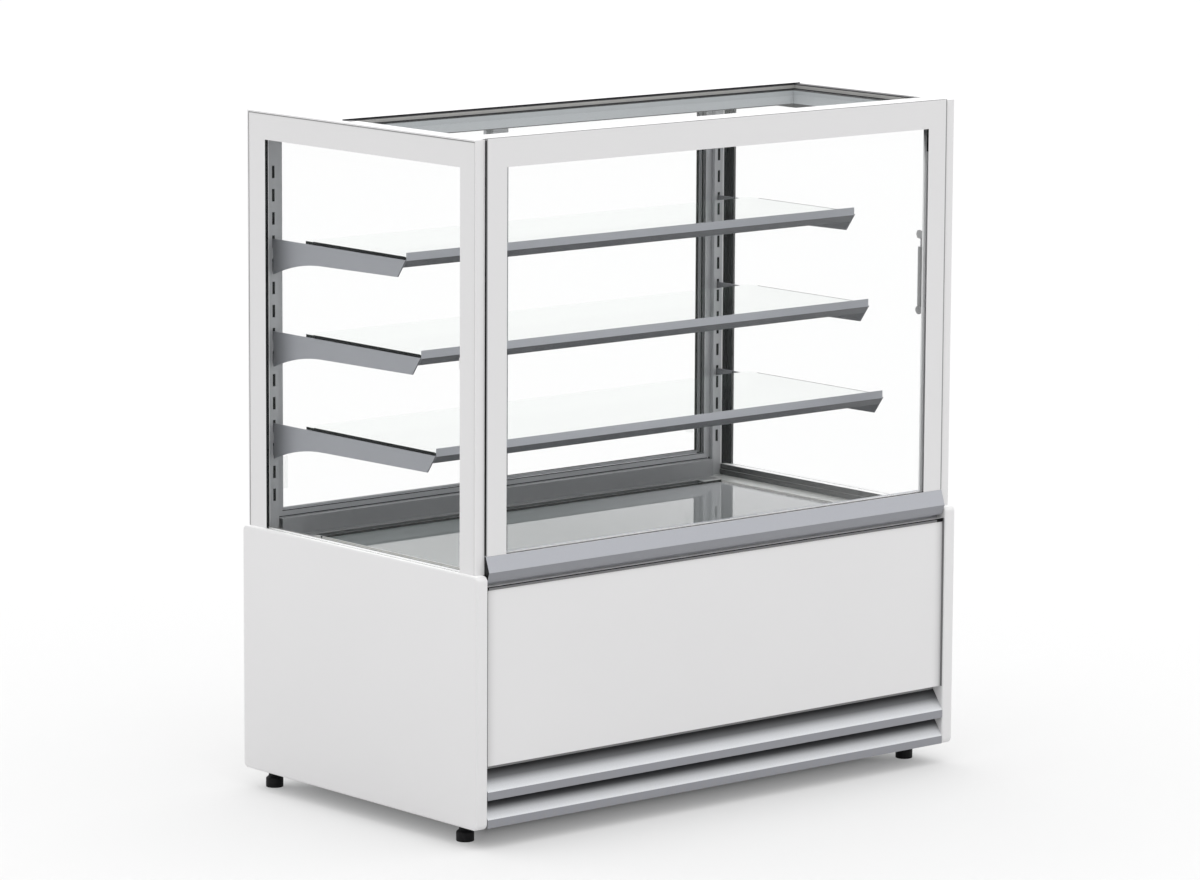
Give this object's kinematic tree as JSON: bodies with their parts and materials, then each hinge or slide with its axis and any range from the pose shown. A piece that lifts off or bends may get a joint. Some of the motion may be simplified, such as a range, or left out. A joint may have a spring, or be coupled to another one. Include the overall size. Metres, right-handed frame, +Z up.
{
  "type": "refrigerated pastry display case",
  "caption": "Free-standing refrigerated pastry display case: glazed cabinet with stepped glass shelves, lift-up front glass and rear sliding doors on a panelled base.",
  "frame": {"origin": "on the floor, at the middle of the width and depth of the base", "axes": "+Z up, +X to the right seen from the front, front towards -Y"},
  "size_m": [1.365, 0.8, 1.4813],
  "materials": {
    "white_paint": "smooth satin white powder coat",
    "white_board": "smooth satin white skin over a foam-filled panel",
    "sill_grey": "satin natural anodised",
    "louvre_grey": "satin natural anodised",
    "shelf_grey": "fine textured silver-grey coat",
    "post_grey": "satin grey",
    "door_grey": "satin grey anodised",
    "roof_grey": "satin grey anodised",
    "sash_dark": "dark anodised, hidden behind the printed glass",
    "strut_grey": "satin grey",
    "bright_steel": "ground steel",
    "deck_grey": "satin stainless sheet",
    "deck_mirror": "polished stainless sheet",
    "well_skin": "plain grey skin over insulation",
    "zinc_sheet": "galvanised sheet",
    "coil_metal": "bare fins on tubes",
    "front_pane": "clear with a white printed border at the top and sides",
    "side_pane": "clear with a white printed border",
    "roof_pane": "clear",
    "door_pane": "clear",
    "shelf_pane": "clear with green-tinted polished edges",
    "pull_clear": "clear moulded grip bonded on the pane",
    "black_plastic": "black moulded",
    "foot_black": "black",
    "black_paint": "satin black",
    "motor_grey": "satin dark grey",
    "copper": "bare copper tube",
    "lamp_white": null,
    "display_black": "smoked window without legends"
  },
  "bodies": {
    "chassis": {"left_base_panel": "white_board", "right_base_panel": "white_board", "chassis_tray": "zinc_sheet", "front_panel": "white_paint", "front_sill": "sill_grey", "louvre_blades": "louvre_grey", "rear_service_panel": "white_paint", "control_panel": "white_paint", "temperature_display": "display_black", "cold_well": "well_skin", "deck_ledge": "deck_grey", "deck_trim": "deck_grey", "deck_plate": "deck_mirror", "rear_upstand": "post_grey", "slotted_posts": "post_grey", "rear_door_frame": "door_grey", "left_side_frame": "white_paint", "right_side_frame": "white_paint", "left_side_glass": "side_pane", "right_side_glass": "side_pane", "front_top_rail": "white_paint", "pivot_pins": "bright_steel", "roof_frame": "roof_grey", "roof_glass": "roof_pane", "top_cover": "white_paint", "display_lamp": "lamp_white", "shelf_brackets": "shelf_grey", "upper_shelf_glass": "shelf_pane", "middle_shelf_glass": "shelf_pane", "lower_shelf_glass": "shelf_pane", "shelf_rails": "shelf_grey", "compressor": "black_paint", "condenser": "coil_metal", "condenser_fan_motor": "motor_grey", "evaporator": "coil_metal", "evaporator_fan_motors": "motor_grey", "refrigerant_pipes": "copper", "power_gland": "black_plastic"},
    "sash": {"front_sash": "sash_dark", "front_glass": "front_pane"},
    "left_strut_tube_body": {"left_strut_tube": "strut_grey"},
    "left_strut_rod_body": {"left_strut_rod": "bright_steel"},
    "right_strut_tube_body": {"right_strut_tube": "strut_grey"},
    "right_strut_rod_body": {"right_strut_rod": "bright_steel"},
    "left_door": {"left_door_frame": "door_grey", "left_door_glass": "door_pane", "left_door_pull": "pull_clear"},
    "right_door": {"right_door_frame": "door_grey", "right_door_glass": "door_pane", "right_door_pull": "pull_clear"},
    "condenser_fan": {"condenser_fan_blades": "black_plastic"},
    "left_evap_fan": {"left_evaporator_fan": "black_plastic"},
    "right_evap_fan": {"right_evaporator_fan": "black_plastic"},
    "main_rocker": {"main_switch": "black_plastic"},
    "light_rocker": {"light_switch": "black_plastic"},
    "tray": {"drain_tray": "black_plastic"},
    "foot_fl": {"front_left_foot": "foot_black"},
    "foot_fr": {"front_right_foot": "foot_black"},
    "foot_rl": {"rear_left_foot": "foot_black"},
    "foot_rr": {"rear_right_foot": "foot_black"}
  },
  "joints": [
    {"name": "front_lift", "type": "hinge", "parent": "chassis", "child": "sash", "pos_m": [0, -0.3778, 1.472], "axis": [-1, 0, 0], "range_deg": [0, 25]},
    {"name": "left_strut_pivot", "type": "hinge", "parent": "chassis", "child": "left_strut_tube_body", "pos_m": [-0.637, -0.326, 1.012], "axis": [1, 0, 0], "range_deg": [0, 36.6]},
    {"name": "left_strut_slide", "type": "slide", "parent": "left_strut_tube_body", "child": "left_strut_rod_body", "axis": [0, 0, 1], "range_m": [0, 0.048]},
    {"name": "right_strut_pivot", "type": "hinge", "parent": "chassis", "child": "right_strut_tube_body", "pos_m": [0.637, -0.326, 1.012], "axis": [1, 0, 0], "range_deg": [0, 36.6]},
    {"name": "right_strut_slide", "type": "slide", "parent": "right_strut_tube_body", "child": "right_strut_rod_body", "axis": [0, 0, 1], "range_m": [0, 0.048]},
    {"name": "left_door_slide", "type": "slide", "parent": "chassis", "child": "left_door", "axis": [1, 0, 0], "range_m": [0, 0.56]},
    {"name": "right_door_slide", "type": "slide", "parent": "chassis", "child": "right_door", "axis": [-1, 0, 0], "range_m": [0, 0.56]},
    {"name": "condenser_fan_spin", "type": "hinge", "parent": "chassis", "child": "condenser_fan", "pos_m": [-0.1638, -0.2824, 0.173], "axis": [0, 1, 0], "continuous": true},
    {"name": "left_evap_fan_spin", "type": "hinge", "parent": "chassis", "child": "left_evap_fan", "pos_m": [-0.2052, 0.1445, 0.4255], "axis": [0, 1, 0], "continuous": true},
    {"name": "right_evap_fan_spin", "type": "hinge", "parent": "chassis", "child": "right_evap_fan", "pos_m": [0.2052, 0.1445, 0.4255], "axis": [0, 1, 0], "continuous": true},
    {"name": "main_rocker_tilt", "type": "hinge", "parent": "chassis", "child": "main_rocker", "pos_m": [0.4095, 0.3834, 0.5162], "axis": [-1, 0, 0], "range_deg": [0, 9]},
    {"name": "light_rocker_tilt", "type": "hinge", "parent": "chassis", "child": "light_rocker", "pos_m": [0.3835, 0.3834, 0.5162], "axis": [-1, 0, 0], "range_deg": [0, 9]},
    {"name": "drain_tray_slide", "type": "slide", "parent": "chassis", "child": "tray", "axis": [0, 1, 0], "range_m": [0, 0.2]},
    {"name": "foot_fl_screw", "type": "slide", "parent": "chassis", "child": "foot_fl", "axis": [0, 0, 1], "range_m": [-0.025, 0]},
    {"name": "foot_fr_screw", "type": "slide", "parent": "chassis", "child": "foot_fr", "axis": [0, 0, 1], "range_m": [-0.025, 0]},
    {"name": "foot_rl_screw", "type": "slide", "parent": "chassis", "child": "foot_rl", "axis": [0, 0, 1], "range_m": [-0.025, 0]},
    {"name": "foot_rr_screw", "type": "slide", "parent": "chassis", "child": "foot_rr", "axis": [0, 0, 1], "range_m": [-0.025, 0]}
  ],
  "couplings": [
    {"joint": "left_strut_pivot", "follows": "front_lift", "ratio": 1.4592},
    {"joint": "left_strut_slide", "follows": "front_lift", "m_per_rad": 0.10939},
    {"joint": "right_strut_pivot", "follows": "front_lift", "ratio": 1.4592},
    {"joint": "right_strut_slide", "follows": "front_lift", "m_per_rad": 0.10939}
  ]
}
